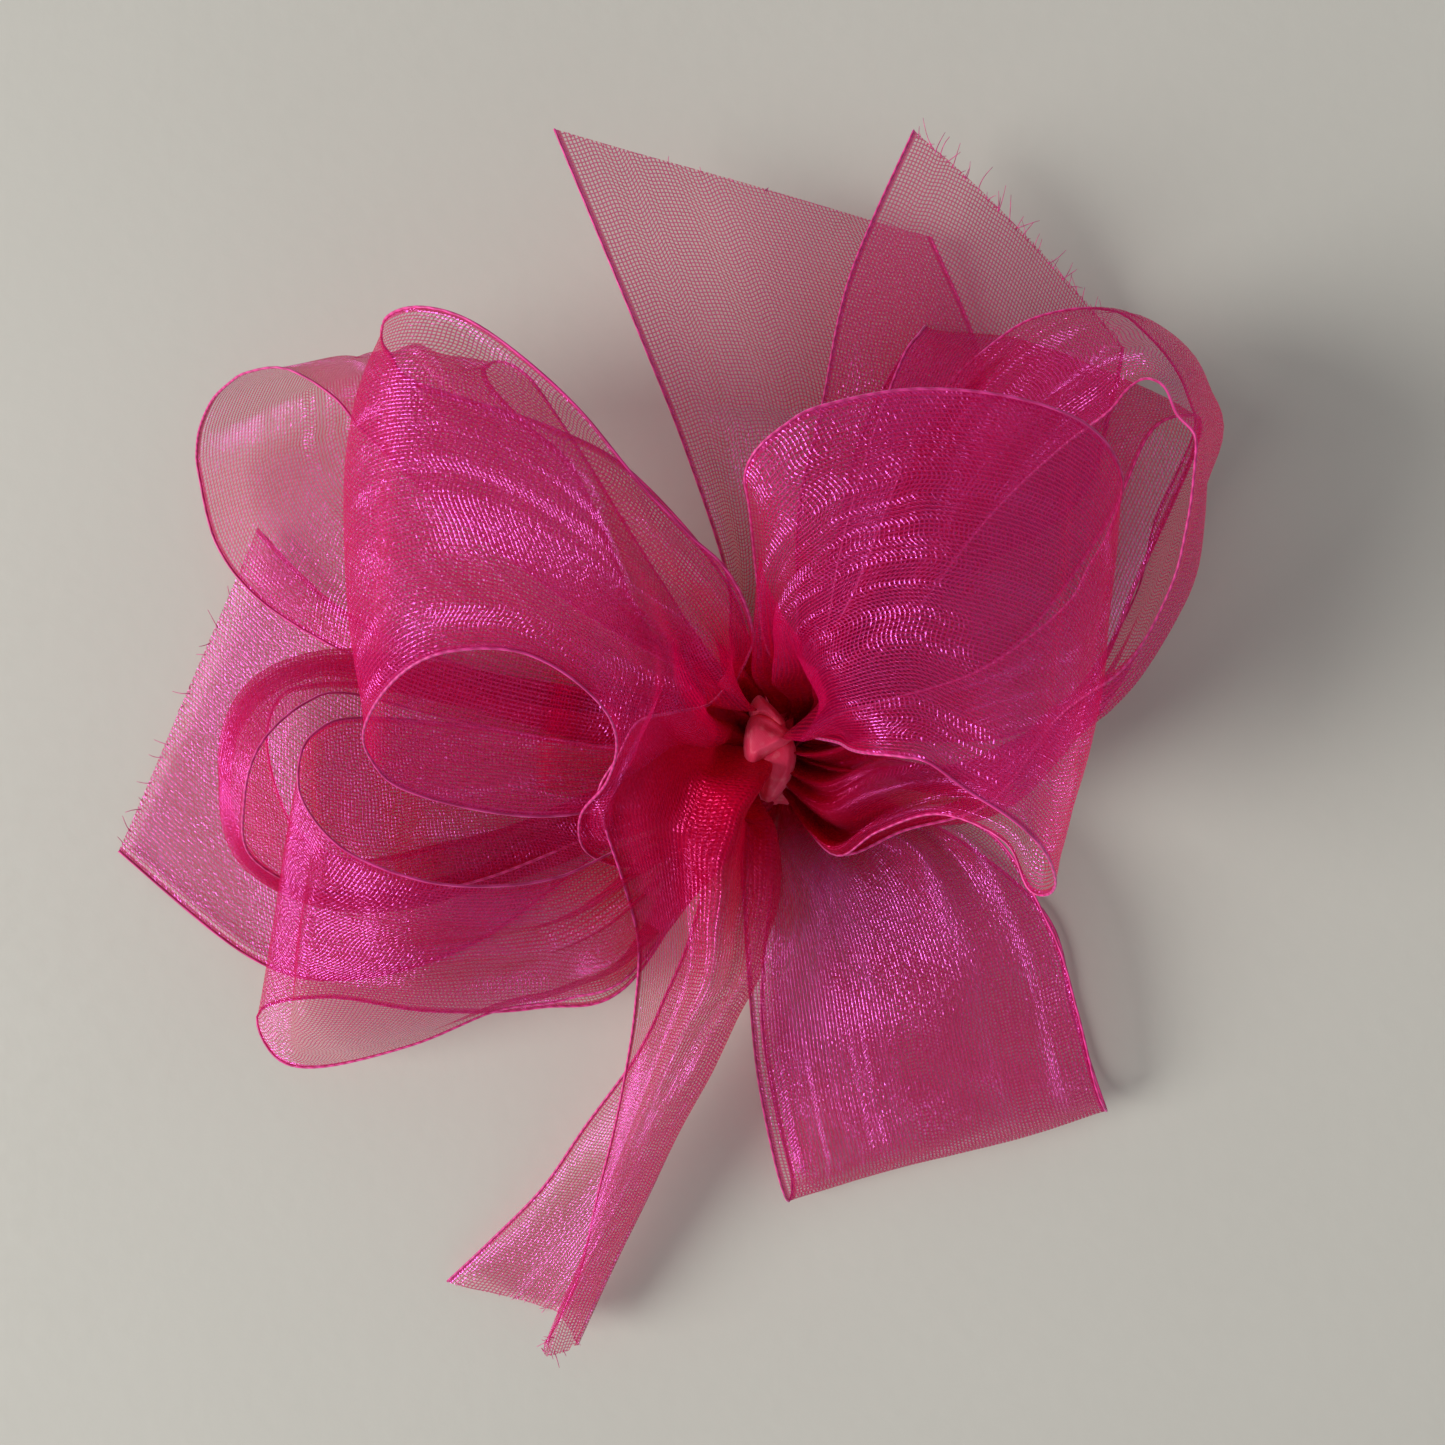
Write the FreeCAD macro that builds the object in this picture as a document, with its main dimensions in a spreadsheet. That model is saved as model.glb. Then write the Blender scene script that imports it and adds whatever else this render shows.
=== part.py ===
import FreeCAD, Part
import Sketcher
import math
import os

# A ready-made ribbon bow lying on its back. +Z points away from the surface it lies on and the knot faces +Z.
# The origin is the middle of the flat back of the satin band round the waist. Millimetres.

DOC = FreeCAD.newDocument("GiftBow")
os.makedirs("parts", exist_ok=True)

# Driving dimensions -------------------------------------------------------------------------------
SIZES = {
    "ribbonthick": 0.5,      # thickness of the solids that stand for the sheer ribbon
    "waistdeep": 10.8,       # gathered waist, along Y
    "waisthigh": 10.8,       # gathered waist, along Z
    "waistlong": 8.0,        # gathered waist, along X
    "waistround": 3.0,       # corner radius of the gathered waist
    "threadthick": 0.3,      # binding thread, diameter
    "threadpitch": 1.2,      # distance between the turns of the binding thread
    "satinwide": 6.0,        # satin ribbon, along X
    "satinthick": 0.3,       # satin ribbon, thickness
    "satingap": 0.45,        # room for the binding thread between the waist and the satin
    "knotlong": 11.8,        # knot, along Y
    "knotwide": 5.4,         # knot, along X
    "knothigh": 3.4,         # knot, along Z
    "knotseat": 0.9,         # height of the knot's widest part over its seat
}


def make_sheet():
    sheet = DOC.addObject("Spreadsheet::Sheet", "Sizes")
    for row, (alias, value) in enumerate(SIZES.items(), start=1):
        sheet.set("A%d" % row, alias)
        sheet.set("B%d" % row, str(value))
        sheet.setAlias("B%d" % row, alias)
    DOC.recompute()
    return sheet


sheet = make_sheet()

# Where each ribbon runs ---------------------------------------------------------------------------
# One row is one station along the ribbon: the place of its first selvedge (x, y, z), then of its second one.
# Every ribbon starts in its own place at an end of the waist. A loop comes back to the waist, and a tail
# ends in its cut.
RIBBONS = {
    "loop_front_left": [
        (-4.6, 2.5, 10.6, -4.6, 0.8, 10.6),
        (-3.5, 9.5, 20.0, -8.0, -1.0, 17.0),
        (-3.2, 12.5, 29.0, -13.5, -3.5, 22.0),
        (-5.2, 17.0, 36.5, -16.0, -4.0, 26.0),
        (-8.0, 20.0, 39.0, -16.5, -3.0, 28.0),
        (-12.5, 24.5, 41.0, -15.0, 1.0, 33.0),
        (-17.5, 30.5, 42.0, -16.0, 4.5, 38.0),
        (-22.5, 35.0, 43.0, -20.0, 8.0, 41.0),
        (-27.5, 38.5, 42.5, -24.5, 9.5, 42.0),
        (-32.0, 40.0, 41.0, -30.5, 9.0, 41.5),
        (-35.5, 40.0, 38.0, -35.0, 6.5, 39.0),
        (-37.0, 39.0, 34.0, -38.5, 2.5, 34.5),
        (-37.0, 38.5, 30.0, -39.0, -0.5, 30.0),
        (-35.0, 36.5, 27.0, -36.5, -3.5, 27.5),
        (-22.0, 32.5, 25.0, -28.5, -6.0, 24.0),
        (-13.5, 28.0, 21.0, -20.5, -6.5, 20.0),
        (-5.5, 15.5, 16.0, -9.5, -4.0, 15.0),
        (-4.6, 5.0, 9.5, -4.6, 3.4, 9.5),
    ],
    "loop_back_left": [
        (-4.6, 4.6, 4.5, -4.6, 3.6, 6.0),
        (-8.5, 7.5, 7.0, -14.5, 2.5, 6.5),
        (-14.5, 15.5, 9.0, -30.5, 6.0, 6.0),
        (-18.0, 24.0, 11.0, -42.0, 8.5, 5.0),
        (-21.5, 31.0, 13.0, -51.0, 12.5, 4.5),
        (-26.0, 35.0, 14.5, -58.5, 17.5, 4.0),
        (-29.0, 38.0, 16.0, -63.0, 23.5, 4.0),
        (-30.0, 39.5, 16.5, -65.0, 31.5, 4.0),
        (-30.0, 40.5, 17.5, -64.5, 34.0, 6.0),
        (-29.5, 41.5, 19.0, -63.0, 36.5, 9.0),
        (-29.0, 41.5, 20.5, -60.5, 38.5, 12.5),
        (-28.0, 41.0, 22.0, -57.5, 39.5, 16.0),
        (-26.5, 39.5, 23.0, -54.5, 39.5, 19.0),
        (-24.5, 37.5, 23.0, -50.0, 39.0, 21.0),
        (-22.0, 34.5, 20.5, -45.0, 36.5, 21.0),
        (-19.0, 30.0, 18.0, -42.0, 33.0, 20.0),
        (-14.0, 22.0, 15.0, -34.0, 25.5, 17.0),
        (-8.5, 13.5, 11.0, -18.5, 14.0, 12.5),
        (-4.6, 5.2, 6.6, -4.6, 5.0, 8.1),
    ],
    "loop_small_left": [
        (-4.6, 1.6, 3.0, -4.6, 1.6, 4.6),
        (-19.0, 3.5, 3.0, -19.5, 1.0, 8.0),
        (-36.5, 5.5, 3.0, -34.5, 4.0, 12.0),
        (-45.0, 7.0, 3.0, -43.5, 6.0, 19.0),
        (-51.5, 7.5, 3.0, -47.0, 5.0, 24.0),
        (-56.0, 6.0, 3.2, -50.5, 1.0, 27.0),
        (-57.5, 0.0, 3.0, -52.5, -4.5, 26.0),
        (-54.5, -9.5, 3.0, -55.0, -11.5, 16.0),
        (-47.0, -13.0, 3.0, -48.0, -16.0, 9.0),
        (-33.0, -11.5, 3.0, -33.5, -14.0, 7.0),
        (-16.5, -6.0, 3.0, -17.5, -8.0, 5.5),
        (-4.6, -2.8, 2.8, -4.6, -2.8, 4.4),
    ],
    "loop_lower_left": [
        (-4.6, -0.8, 5.8, -4.6, 0.6, 7.2),
        (-15.0, -26.0, 6.0, -14.0, 0.0, 12.0),
        (-26.0, -29.5, 5.0, -30.5, 2.5, 16.0),
        (-38.5, -30.0, 4.5, -42.0, 3.5, 22.0),
        (-50.0, -28.5, 4.0, -45.5, 2.0, 26.0),
        (-58.0, -30.0, 4.0, -46.5, -1.0, 28.0),
        (-56.0, -35.0, 5.0, -46.0, -5.0, 28.0),
        (-50.5, -36.0, 6.0, -42.0, -9.5, 28.0),
        (-39.5, -33.0, 8.0, -35.0, -12.5, 27.0),
        (-30.0, -29.0, 9.0, -28.5, -13.5, 24.0),
        (-22.0, -27.5, 10.0, -22.0, -13.0, 20.0),
        (-14.0, -23.5, 11.0, -16.0, -10.5, 16.0),
        (-4.6, -4.6, 6.4, -4.6, -3.4, 8.0),
    ],
    "loop_lower_right": [
        (4.6, -4.6, 3.4, 4.6, -3.0, 3.4),
        (0.5, -12.0, 6.0, 11.5, -6.0, 7.0),
        (-2.5, -19.0, 7.0, 24.5, -9.0, 8.0),
        (-2.0, -27.0, 8.0, 31.5, -20.0, 9.0),
        (-1.0, -37.0, 7.5, 34.5, -29.0, 8.5),
        (1.0, -47.0, 6.0, 37.0, -38.0, 7.0),
        (2.5, -52.0, 3.5, 39.0, -41.5, 4.0),
        (3.0, -50.0, 1.0, 38.5, -38.5, 1.0),
        (1.0, -41.5, 0.8, 36.0, -30.5, 0.8),
        (-0.5, -30.5, 0.8, 32.5, -19.0, 0.8),
        (0.5, -17.5, 0.8, 19.0, -8.5, 0.8),
        (4.6, -4.6, 1.6, 4.6, -3.0, 1.6),
    ],
    "loop_front_right": [
        (4.6, 0.6, 10.6, 4.6, -1.2, 10.6),
        (2.5, 9.5, 18.0, 5.0, 1.5, 18.0),
        (-1.0, 15.5, 28.0, 6.5, 1.0, 26.0),
        (-2.5, 22.5, 37.0, 7.0, 0.5, 33.0),
        (-3.0, 25.0, 40.5, 7.6, 0.3, 38.5),
        (-2.0, 27.0, 42.5, 8.8, 0.2, 41.5),
        (0.5, 29.0, 43.5, 10.8, 0.0, 43.0),
        (3.5, 30.5, 44.0, 13.0, -0.5, 43.5),
        (11.5, 32.0, 44.0, 16.5, -3.0, 43.0),
        (20.5, 31.5, 43.0, 20.5, -5.5, 42.0),
        (28.0, 29.5, 40.0, 24.0, -8.5, 39.0),
        (32.5, 26.0, 34.0, 26.5, -12.0, 33.0),
        (33.0, 22.0, 28.0, 27.0, -14.0, 27.0),
        (31.5, 18.5, 25.5, 25.5, -13.5, 25.0),
        (29.5, 14.5, 23.0, 23.5, -9.0, 23.5),
        (22.0, 8.5, 19.0, 17.5, -6.5, 19.5),
        (12.0, 4.0, 15.5, 10.0, -8.0, 15.8),
        (4.6, 0.9, 8.9, 4.6, -0.9, 8.9),
    ],
    "loop_back_right": [
        (4.6, 3.8, 6.4, 4.6, 3.4, 8.0),
        (9.0, 16.5, 12.0, 11.5, 10.0, 13.0),
        (17.0, 36.0, 13.0, 23.0, 24.5, 17.0),
        (25.0, 44.5, 14.0, 29.5, 31.0, 21.0),
        (31.0, 47.0, 15.0, 33.5, 34.0, 25.0),
        (37.0, 47.0, 15.0, 34.5, 35.5, 28.0),
        (41.0, 44.5, 14.0, 35.5, 36.0, 31.0),
        (43.5, 41.5, 13.0, 36.0, 34.5, 34.0),
        (46.0, 38.5, 11.5, 37.0, 31.5, 36.0),
        (48.0, 36.0, 7.5, 38.5, 29.5, 36.5),
        (47.0, 31.5, 4.0, 38.5, 26.5, 36.5),
        (44.5, 26.0, 4.0, 38.0, 21.5, 36.0),
        (42.5, 18.0, 4.0, 37.0, 15.5, 34.0),
        (37.5, 9.5, 5.0, 33.5, 8.0, 28.0),
        (30.0, 1.5, 7.0, 28.5, 1.0, 18.0),
        (20.5, -4.0, 9.0, 21.5, -7.0, 14.0),
        (10.5, -5.0, 9.5, 11.0, -9.5, 12.5),
        (4.6, -2.6, 5.6, 4.6, -2.8, 7.2),
    ],
    "loop_under_right": [
        (4.6, 2.2, 5.0, 4.6, 0.8, 5.0),
        (9.5, 11.0, 8.0, 11.5, 3.5, 7.5),
        (19.0, 27.5, 9.5, 26.5, 11.0, 9.5),
        (26.5, 38.5, 10.0, 36.5, 24.0, 10.5),
        (30.5, 45.0, 10.0, 44.0, 33.0, 10.5),
        (33.5, 48.5, 8.0, 46.0, 37.5, 8.5),
        (32.5, 47.0, 6.0, 45.5, 35.5, 6.0),
        (27.5, 37.5, 6.0, 39.0, 21.5, 5.0),
        (18.5, 21.5, 5.6, 26.5, 8.0, 5.0),
        (9.5, 9.0, 5.2, 13.0, 2.0, 5.0),
        (4.6, 2.2, 3.2, 4.6, 0.8, 3.2),
    ],
    "tail_upper_left": [
        (-4.6, 3.4, 1.4, -4.6, 5.0, 1.4),
        (-4.0, 11.5, 3.0, 2.5, 10.0, 1.0),
        (-4.5, 19.5, 6.0, 13.5, 18.5, 0.8),
        (-9.0, 33.0, 9.0, 24.0, 31.5, 0.8),
        (-13.5, 44.0, 12.0, 25.5, 44.0, 0.8),
        (-23.0, 66.5, 15.0, 19.0, 59.0, 3.0),
    ],
    "tail_upper_right": [
        (4.6, 5.0, 2.6, 4.6, 3.4, 2.6),
        (3.5, 12.0, 4.6, 9.0, 9.0, 3.0),
        (3.5, 26.5, 7.0, 22.5, 19.5, 1.6),
        (6.0, 38.0, 9.0, 36.5, 29.0, 1.0),
        (9.0, 52.0, 11.0, 40.5, 40.5, 1.2),
        (16.0, 68.0, 11.0, 41.5, 46.5, 2.0),
    ],
    "tail_left": [
        (-4.6, 0.8, 1.2, -4.6, -0.8, 1.2),
        (-14.5, 3.5, 1.2, -17.0, -10.5, 1.0),
        (-28.5, 7.5, 1.0, -33.5, -22.5, 0.8),
        (-40.5, 11.5, 1.0, -48.5, -27.0, 0.8),
        (-50.5, 17.0, 1.2, -60.0, -24.5, 0.8),
        (-59.0, 25.5, 1.8, -75.5, -12.0, 0.8),
    ],
    "tail_bottom": [
        (-4.6, -3.6, 10.2, -4.6, -2.0, 10.4),
        (-10.0, -8.0, 16.5, -2.0, -8.8, 15.5),
        (-14.5, -12.0, 17.0, 0.5, -12.0, 15.0),
        (-14.5, -16.5, 16.2, 0.5, -17.0, 14.0),
        (-14.5, -23.5, 14.0, -2.0, -25.0, 14.0),
        (-15.5, -34.5, 10.5, -6.0, -34.5, 14.0),
        (-19.5, -48.0, 7.0, -12.0, -48.0, 11.0),
        (-37.0, -62.0, 2.5, -21.2, -67.5, 5.5),
    ],
}

# Ribbons ------------------------------------------------------------------------------------------


def through(points, steps):
    """Points along a smooth curve through the given ones (Catmull-Rom), with `steps` to each stretch."""
    curve = []
    for i in range(len(points) - 1):
        before = points[max(i - 1, 0)]
        after = points[min(i + 2, len(points) - 1)]
        for k in range(steps):
            u = k / steps
            pull = (points[i + 1] - before) * u
            bend = (before * 2 - points[i] * 5 + points[i + 1] * 4 - after) * u ** 2
            turn = (points[i] * 3 - before - points[i + 1] * 3 + after) * u ** 3
            curve.append((points[i] * 2 + pull + bend + turn) * 0.5)
    curve.append(points[-1])
    return curve


def ribbon_section(first, second, forward, thick):
    """The flat rectangle where a ribbon is cut across, from its first selvedge to its second."""
    lift = forward.cross(second - first).normalize() * (thick / 2)
    corners = [first - lift, second - lift, second + lift, first + lift]
    return Part.makePolygon(corners + corners[:1])


def make_ribbon(name, rows, steps=2):
    """A thin closed strip through its stations."""
    thick = float(sheet.get("ribbonthick"))
    firsts = through([FreeCAD.Vector(*row[:3]) for row in rows], steps)
    seconds = through([FreeCAD.Vector(*row[3:]) for row in rows], steps)
    middles = [(a + b) * 0.5 for a, b in zip(firsts, seconds)]
    sections = []
    for i in range(len(middles)):
        forward = middles[min(i + 1, len(middles) - 1)] - middles[max(i - 1, 0)]
        sections.append(ribbon_section(firsts[i], seconds[i], forward, thick))
    ribbon = DOC.addObject("Part::Feature", name)
    ribbon.Shape = Part.makeLoft(sections, True, True)
    ribbon.Placement = FreeCAD.Placement()
    return ribbon


# Waist --------------------------------------------------------------------------------------------


def origin_plane(body, role):
    return next(item for item in body.Origin.OriginFeatures if item.Role == role)


def rounded_rectangle(body, name, deep, high, corner, middle):
    """A sketch across the waist: a rounded rectangle, centred over the origin at the height `middle`."""
    sketch = body.newObject("Sketcher::SketchObject", name)
    sketch.AttachmentSupport = (origin_plane(body, "YZ_Plane"), [""])
    sketch.MapMode = "FlatFace"
    half_deep = body.evalExpression(deep) / 2
    low = body.evalExpression("%s - (%s) / 2" % (middle, high))
    top = body.evalExpression("%s + (%s) / 2" % (middle, high))
    radius = body.evalExpression(corner)
    centres = [(half_deep - radius, low + radius), (half_deep - radius, top - radius),
               (radius - half_deep, top - radius), (radius - half_deep, low + radius)]
    quarter = math.pi / 2
    arcs = []
    for turn, (across, up) in enumerate(centres):
        circle = Part.Circle(FreeCAD.Vector(across, up, 0), FreeCAD.Vector(0, 0, 1), radius)
        arcs.append(sketch.addGeometry(Part.ArcOfCircle(circle, (turn - 1) * quarter, turn * quarter)))
    lines = []
    for turn in range(4):
        start = sketch.Geometry[arcs[turn]].EndPoint
        end = sketch.Geometry[arcs[(turn + 1) % 4]].StartPoint
        lines.append(sketch.addGeometry(Part.LineSegment(start, end)))
    for turn in range(4):
        sketch.addConstraint(Sketcher.Constraint("Tangent", arcs[turn], 2, lines[turn], 1))
        sketch.addConstraint(Sketcher.Constraint("Tangent", lines[turn], 2, arcs[(turn + 1) % 4], 1))
    for turn in range(1, 4):
        sketch.addConstraint(Sketcher.Constraint("Equal", arcs[0], arcs[turn]))
    sketch.addConstraint(Sketcher.Constraint("Vertical", lines[0]))
    sketch.addConstraint(Sketcher.Constraint("Vertical", lines[2]))
    sketch.addConstraint(Sketcher.Constraint("Horizontal", lines[3]))
    sketch.addConstraint(Sketcher.Constraint("Symmetric", lines[1], 1, lines[1], 2, -2))
    sizes = [("Radius", (arcs[0],), radius, corner),
             ("DistanceX", (lines[2], 1, lines[0], 1), 2 * half_deep, deep),
             ("DistanceY", (lines[3], 1, lines[1], 1), top - low, high),
             ("DistanceY", (-1, 1, lines[1], 1), top, "%s + (%s) / 2" % (middle, high))]
    for kind, places, value, expression in sizes:
        index = sketch.addConstraint(Sketcher.Constraint(kind, *places, value))
        sketch.setExpression("Constraints[%d]" % index, expression)
    return sketch


def make_waist():
    """All the ribbon layers pleated together where the band grips them."""
    body = DOC.addObject("PartDesign::Body", "gathered_waist")
    middle = "Sizes.waisthigh / 2 + Sizes.satingap + Sizes.satinthick"
    sketch = rounded_rectangle(body, "waist_section", "Sizes.waistdeep", "Sizes.waisthigh",
                               "Sizes.waistround", middle)
    pad = body.newObject("PartDesign::Pad", "waist_pad")
    pad.Profile = sketch
    pad.Midplane = True
    pad.setExpression("Length", "Sizes.waistlong")
    return body


def make_satin_wrap():
    """The satin band round the waist. Its back is flat, and the bow lies on it."""
    body = DOC.addObject("PartDesign::Body", "satin_wrap")
    room = "2 * Sizes.satingap"
    walls = "2 * Sizes.satinthick"
    middle = "Sizes.waisthigh / 2 + Sizes.satingap + Sizes.satinthick"
    outer = rounded_rectangle(body, "wrap_outside", "Sizes.waistdeep + %s + %s" % (room, walls),
                              "Sizes.waisthigh + %s + %s" % (room, walls),
                              "Sizes.waistround + Sizes.satingap + Sizes.satinthick", middle)
    pad = body.newObject("PartDesign::Pad", "wrap_pad")
    pad.Profile = outer
    pad.Midplane = True
    pad.setExpression("Length", "Sizes.satinwide")
    DOC.recompute()
    whole = pad.Shape.Volume
    inner = rounded_rectangle(body, "wrap_inside", "Sizes.waistdeep + %s" % room,
                              "Sizes.waisthigh + %s" % room, "Sizes.waistround + Sizes.satingap", middle)
    pocket = body.newObject("PartDesign::Pocket", "wrap_pocket")
    pocket.Profile = inner
    pocket.Type = "ThroughAll"
    pocket.Midplane = True
    DOC.recompute()
    if pocket.Shape.Volume > 0.2 * whole:
        raise RuntimeError("the satin band was not hollowed")
    return body


def make_satin_knot():
    """The knot on the front of the band: a rounded lump with a flat seat on the band."""
    lump = DOC.addObject("Part::Ellipsoid", "knot_lump")
    lump.setExpression("Radius1", "Sizes.knothigh - Sizes.knotseat")
    lump.setExpression("Radius2", "Sizes.knotwide / 2")
    lump.setExpression("Radius3", "Sizes.knotlong / 2")
    top = "Sizes.waisthigh + 2 * Sizes.satingap + 2 * Sizes.satinthick"
    lump.setExpression("Placement.Base.z", "%s + Sizes.knotseat" % top)
    below = DOC.addObject("Part::Box", "below_knot")
    for side in ("Length", "Width", "Height"):
        below.setExpression(side, "2 * Sizes.knotlong")
    below.setExpression("Placement.Base.x", "-Sizes.knotlong")
    below.setExpression("Placement.Base.y", "-Sizes.knotlong")
    below.setExpression("Placement.Base.z", "%s - 2 * Sizes.knotlong" % top)
    knot = DOC.addObject("Part::Cut", "satin_knot")
    knot.Base = lump
    knot.Tool = below
    return knot


def ring_route(along, half_deep, low, top, radius):
    """A closed rounded rectangle round the waist, at the place `along` on the X axis."""
    steps = [(1, 0), (math.sqrt(0.5), math.sqrt(0.5)), (0, 1)]
    corners = [(half_deep - radius, top - radius, 1, 1), (radius - half_deep, top - radius, -1, 1),
               (radius - half_deep, low + radius, -1, -1), (half_deep - radius, low + radius, 1, -1)]
    arcs = []
    for number, (across, up, side, rise) in enumerate(corners):
        order = steps if number % 2 == 0 else steps[::-1]
        arcs.append([FreeCAD.Vector(along, across + side * radius * a, up + rise * radius * b)
                     for a, b in order])
    edges = []
    for number, arc in enumerate(arcs):
        edges.append(Part.Arc(*arc).toShape())
        edges.append(Part.makeLine(arc[-1], arcs[(number + 1) % 4][0]))
    return Part.Wire(edges)


def make_binding_thread(turns=3):
    """Turns of thread pulled tight round the waist, under the satin band. Each turn is a closed ring."""
    thick = float(sheet.get("threadthick"))
    stand_off = float(sheet.get("satingap")) / 2
    low = float(sheet.get("satinthick")) + stand_off
    top = low + float(sheet.get("waisthigh")) + 2 * stand_off
    half_deep = float(sheet.get("waistdeep")) / 2 + stand_off
    radius = float(sheet.get("waistround")) + stand_off
    rings = []
    for turn in range(turns):
        along = (turn - (turns - 1) / 2) * float(sheet.get("threadpitch"))
        route = ring_route(along, half_deep, low, top, radius)
        start = route.Edges[0]
        first = start.FirstParameter
        circle = Part.makeCircle(thick / 2, start.valueAt(first), start.tangentAt(first))
        rings.append(route.makePipeShell([Part.Wire(circle)], True, True))
    thread = DOC.addObject("Part::Feature", "binding_thread")
    thread.Shape = Part.makeCompound(rings)
    thread.Placement = FreeCAD.Placement()
    return thread


# Build, check and write ---------------------------------------------------------------------------

pieces = [make_waist(), make_satin_wrap(), make_satin_knot(), make_binding_thread()]
pieces += [make_ribbon(name, rows) for name, rows in RIBBONS.items()]
for piece in pieces:
    piece.Label = piece.Name
DOC.recompute()

for item in DOC.Objects:
    if "Invalid" in item.State or "Error" in item.State:
        raise RuntimeError("%s did not rebuild" % item.Name)
for piece in pieces:
    if piece.Shape.isNull() or not piece.Shape.isValid():
        raise RuntimeError("%s is not a valid shape" % piece.Label)
    piece.Shape.exportStep("parts/%s.step" % piece.Label)
    print("%-20s %9.2f mm3" % (piece.Label, piece.Shape.Volume))
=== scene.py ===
import math

import bpy
import numpy as np
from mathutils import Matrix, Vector


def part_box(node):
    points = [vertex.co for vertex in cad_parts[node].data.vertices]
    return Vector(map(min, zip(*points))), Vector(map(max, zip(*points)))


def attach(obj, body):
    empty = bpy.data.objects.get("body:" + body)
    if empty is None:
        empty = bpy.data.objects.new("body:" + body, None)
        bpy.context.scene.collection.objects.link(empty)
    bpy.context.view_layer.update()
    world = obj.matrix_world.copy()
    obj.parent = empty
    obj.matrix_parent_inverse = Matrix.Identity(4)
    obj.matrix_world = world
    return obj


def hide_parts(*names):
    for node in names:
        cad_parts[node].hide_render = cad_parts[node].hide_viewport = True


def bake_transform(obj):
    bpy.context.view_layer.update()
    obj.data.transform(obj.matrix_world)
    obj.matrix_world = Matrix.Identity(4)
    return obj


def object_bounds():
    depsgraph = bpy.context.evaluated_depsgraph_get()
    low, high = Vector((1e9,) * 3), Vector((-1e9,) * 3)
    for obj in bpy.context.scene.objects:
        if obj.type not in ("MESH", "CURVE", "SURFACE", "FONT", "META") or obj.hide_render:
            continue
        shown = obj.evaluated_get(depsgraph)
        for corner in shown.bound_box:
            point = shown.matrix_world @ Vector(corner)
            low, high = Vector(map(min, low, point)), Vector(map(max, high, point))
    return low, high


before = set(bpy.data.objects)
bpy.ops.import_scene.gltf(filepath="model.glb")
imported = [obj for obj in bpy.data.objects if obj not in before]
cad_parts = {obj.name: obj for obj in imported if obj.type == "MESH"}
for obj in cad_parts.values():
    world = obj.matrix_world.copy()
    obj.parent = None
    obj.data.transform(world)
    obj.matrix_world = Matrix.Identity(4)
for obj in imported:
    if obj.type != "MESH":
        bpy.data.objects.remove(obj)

cad_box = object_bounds()

MM = 0.001
RIBBON_WIDE = 0.038          # the organza ribbon's own width, selvedge to selvedge
THREAD_PITCH = 0.00043       # one visible thread of the weave to the next
SELVEDGE_THICK = 0.00028     # the corded edge of the ribbon
SATIN_WIDE = 0.006
SATIN_THICK = 0.0003
SATIN_ROUND = 0.044          # the way round the waist, along the satin
HEM_DROP = 0.8               # how far a fold's edge turns down into the knot, in millimetres


# Curves and meshes ------------------------------------------------------------------------------------------

def smooth(rows, steps):
    """Rows of numbers along a smooth curve through the given rows (Catmull-Rom), `steps` to each stretch."""
    rows = np.array(rows, float)
    out = []
    last = len(rows) - 1
    for i in range(last):
        before, here, there, after = rows[max(i - 1, 0)], rows[i], rows[i + 1], rows[min(i + 2, last)]
        for u in np.arange(steps) / steps:
            out.append(0.5 * (2 * here + (there - before) * u
                              + (2 * before - 5 * here + 4 * there - after) * u ** 2
                              + (3 * here - before - 3 * there + after) * u ** 3))
    out.append(rows[last])
    return np.array(out)


def unit(vectors):
    length = np.linalg.norm(vectors, axis=-1, keepdims=True)
    return vectors / np.maximum(length, 1e-12)


def arc_length(points):
    """How far along the line each point is."""
    steps = np.linalg.norm(np.diff(points, axis=0), axis=1)
    return np.concatenate([[0.0], np.cumsum(steps)])


def evenly(rows, columns, count):
    """The rows again, `count` of them, evenly spaced along the line that the chosen columns draw."""
    along = arc_length(rows[:, columns])
    where = np.linspace(0.0, along[-1], count)
    return np.stack([np.interp(where, along, rows[:, i]) for i in range(rows.shape[1])], axis=1), where


def mesh_object(name, points, faces, material, uvs=None, gathers=None):
    """A smooth-shaded mesh in row-frame metres. `uvs` has one pair to each point, and so has `gathers`."""
    mesh = bpy.data.meshes.new(name)
    mesh.from_pydata([tuple(p) for p in points], [], faces)
    mesh.shade_smooth()
    order = np.empty(len(mesh.loops), int)
    mesh.loops.foreach_get("vertex_index", order)
    for layer_name, pairs in (("ribbon", uvs), ("gather", gathers)):
        if pairs is not None:
            layer = mesh.uv_layers.new(name=layer_name)
            layer.data.foreach_set("uv", np.asarray(pairs, np.float32)[order].ravel())
    mesh.materials.append(material)
    piece = bpy.data.objects.new(name, mesh)
    bpy.context.scene.collection.objects.link(piece)
    return piece


def grid_faces(rows, columns, closed=False):
    """Quads of a grid of points numbered row by row. A closed grid joins its last column to its first."""
    faces = []
    for i in range(rows - 1):
        for j in range(columns if closed else columns - 1):
            k = (j + 1) % columns
            faces.append((i * columns + j, i * columns + k, (i + 1) * columns + k, (i + 1) * columns + j))
    return faces


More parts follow.
